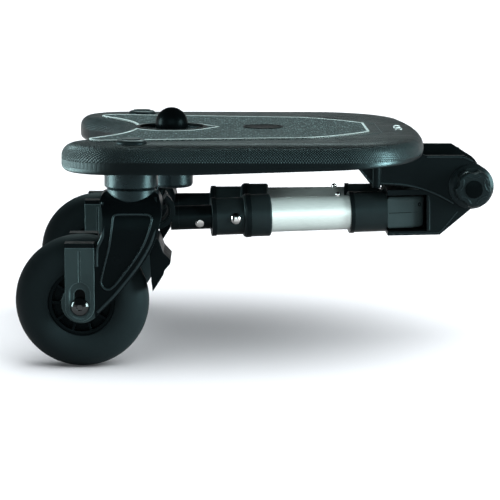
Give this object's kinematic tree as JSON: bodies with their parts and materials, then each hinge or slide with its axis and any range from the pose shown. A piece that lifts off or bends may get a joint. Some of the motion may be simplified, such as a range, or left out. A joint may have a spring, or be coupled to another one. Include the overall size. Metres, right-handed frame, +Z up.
{
  "type": "buggy board",
  "caption": "Buggy board: a ride-on standing deck on sprung swivel casters, with telescopic coupling arms folded back under it, a pull knob and a clamp knob.",
  "frame": {"origin": "on the floor, under the middle of the part's box, with the arms folded back", "axes": "+X to the front, where the arms are hinged; +Y to the left; +Z up"},
  "size_m": [0.4401, 0.3492, 0.221],
  "materials": {
    "black_plastic": "satin moulded black plastic with a fine grain",
    "grey_plastic": "satin mid-grey plastic",
    "grip_rubber": "granular dark grey rubber",
    "tyre_rubber": "smooth solid dark grey tyre",
    "tube_aluminium": "satin anodised aluminium",
    "chrome_metal": "polished chrome",
    "zinc_steel": "zinc plated steel",
    "pale_plastic": "pale glossy plastic"
  },
  "bodies": {
    "board": {"deck": "black_plastic", "grip_pad": "grip_rubber", "badge_disc": "pale_plastic", "deck_screws": "zinc_steel", "front_bracket": "black_plastic", "bracket_screws": "zinc_steel", "knob_housing": "black_plastic", "swivel_socket_right": "grey_plastic", "swivel_socket_left": "grey_plastic", "king_pin_right": "zinc_steel", "king_pin_left": "zinc_steel", "swivel_cap_right": "black_plastic", "swivel_cap_left": "black_plastic", "cap_discs": "pale_plastic", "hinge_bolt": "zinc_steel", "friction_washers": "pale_plastic", "hinge_cap": "black_plastic"},
    "lift_knob": {"lift_ball": "black_plastic", "lift_stem": "zinc_steel"},
    "clamp_knob": {"clamp_knob": "black_plastic"},
    "carrier": {"arm_carrier": "black_plastic", "swing_pins": "zinc_steel"},
    "caster_right": {"fork_right": "black_plastic", "swivel_cup_right": "grey_plastic", "struts_right": "grey_plastic", "strut_caps_right": "black_plastic", "suspension_springs_right": "zinc_steel"},
    "axle_right": {"axle_bolt_right": "chrome_metal"},
    "wheel_right": {"tyre_right": "tyre_rubber", "wheel_hub_right": "black_plastic", "wheel_bushes_right": "pale_plastic"},
    "arm_right": {"swivel_block_right": "black_plastic", "socket_sleeve_right": "black_plastic", "outer_tube_right": "tube_aluminium", "tube_ring_right": "black_plastic", "tube_sleeve_right": "black_plastic"},
    "button_right": {"snap_button_right": "chrome_metal"},
    "slider_right": {"inner_tube_right": "black_plastic", "coupling_hook_right": "black_plastic", "coupling_pad_right": "grip_rubber"},
    "caster_left": {"fork_left": "black_plastic", "swivel_cup_left": "grey_plastic", "struts_left": "grey_plastic", "strut_caps_left": "black_plastic", "suspension_springs_left": "zinc_steel"},
    "axle_left": {"axle_bolt_left": "chrome_metal"},
    "wheel_left": {"tyre_left": "tyre_rubber", "wheel_hub_left": "black_plastic", "wheel_bushes_left": "pale_plastic"},
    "arm_left": {"swivel_block_left": "black_plastic", "socket_sleeve_left": "black_plastic", "outer_tube_left": "tube_aluminium", "tube_ring_left": "black_plastic", "tube_sleeve_left": "black_plastic"},
    "button_left": {"snap_button_left": "chrome_metal"},
    "slider_left": {"inner_tube_left": "black_plastic", "coupling_hook_left": "black_plastic", "coupling_pad_left": "grip_rubber"}
  },
  "joints": [
    {"name": "caster_swivel_right", "type": "hinge", "parent": "board", "child": "caster_right", "pos_m": [-0.1157, -0.135, 0.15], "axis": [0, 0, 1], "continuous": true},
    {"name": "suspension_right", "type": "slide", "parent": "caster_right", "child": "axle_right", "axis": [0, 0, 1], "range_m": [0, 0.01], "stiffness_N_per_m": 6000, "springref_m": -0.012, "deforming": ["suspension_springs_right"]},
    {"name": "wheel_spin_right", "type": "hinge", "parent": "axle_right", "child": "wheel_right", "pos_m": [-0.1602, -0.135, 0.06], "axis": [0, 1, 0], "continuous": true},
    {"name": "arm_swing_right", "type": "hinge", "parent": "carrier", "child": "arm_right", "pos_m": [0.14255, -0.025, 0.12531], "axis": [-0.0209, 0, 0.9998], "range_deg": [-5, 1]},
    {"name": "arm_extend_right", "type": "slide", "parent": "arm_right", "child": "slider_right", "axis": [-0.996, -0.0872, -0.0209], "range_m": [0, 0.067]},
    {"name": "snap_button_right", "type": "slide", "parent": "arm_right", "child": "button_right", "axis": [-0.0871, 0.9962, -0.0018], "range_m": [0, 0.002], "stiffness_N_per_m": 900, "springref_m": -0.001},
    {"name": "caster_swivel_left", "type": "hinge", "parent": "board", "child": "caster_left", "pos_m": [-0.1157, 0.135, 0.15], "axis": [0, 0, 1], "continuous": true},
    {"name": "suspension_left", "type": "slide", "parent": "caster_left", "child": "axle_left", "axis": [0, 0, 1], "range_m": [0, 0.01], "stiffness_N_per_m": 6000, "springref_m": -0.012, "deforming": ["suspension_springs_left"]},
    {"name": "wheel_spin_left", "type": "hinge", "parent": "axle_left", "child": "wheel_left", "pos_m": [-0.1602, 0.135, 0.06], "axis": [0, 1, 0], "continuous": true},
    {"name": "arm_swing_left", "type": "hinge", "parent": "carrier", "child": "arm_left", "pos_m": [0.14255, 0.025, 0.12531], "axis": [-0.0209, 0, 0.9998], "range_deg": [-1, 5]},
    {"name": "arm_extend_left", "type": "slide", "parent": "arm_left", "child": "slider_left", "axis": [-0.996, 0.0872, -0.0209], "range_m": [0, 0.067]},
    {"name": "snap_button_left", "type": "slide", "parent": "arm_left", "child": "button_left", "axis": [0.0871, 0.9962, 0.0018], "range_m": [0, 0.002], "stiffness_N_per_m": 900, "springref_m": -0.001},
    {"name": "arm_fold", "type": "hinge", "parent": "board", "child": "carrier", "pos_m": [0.199, 0, 0.152], "axis": [0, -1, 0], "range_deg": [0, 180]},
    {"name": "clamp_knob_turn", "type": "hinge", "parent": "board", "child": "clamp_knob", "pos_m": [0.199, 0, 0.152], "axis": [0, -1, 0], "range_deg": [0, 360]},
    {"name": "lift_knob_pull", "type": "slide", "parent": "board", "child": "lift_knob", "axis": [0, 0, 1], "range_m": [0, 0.018]}
  ]
}
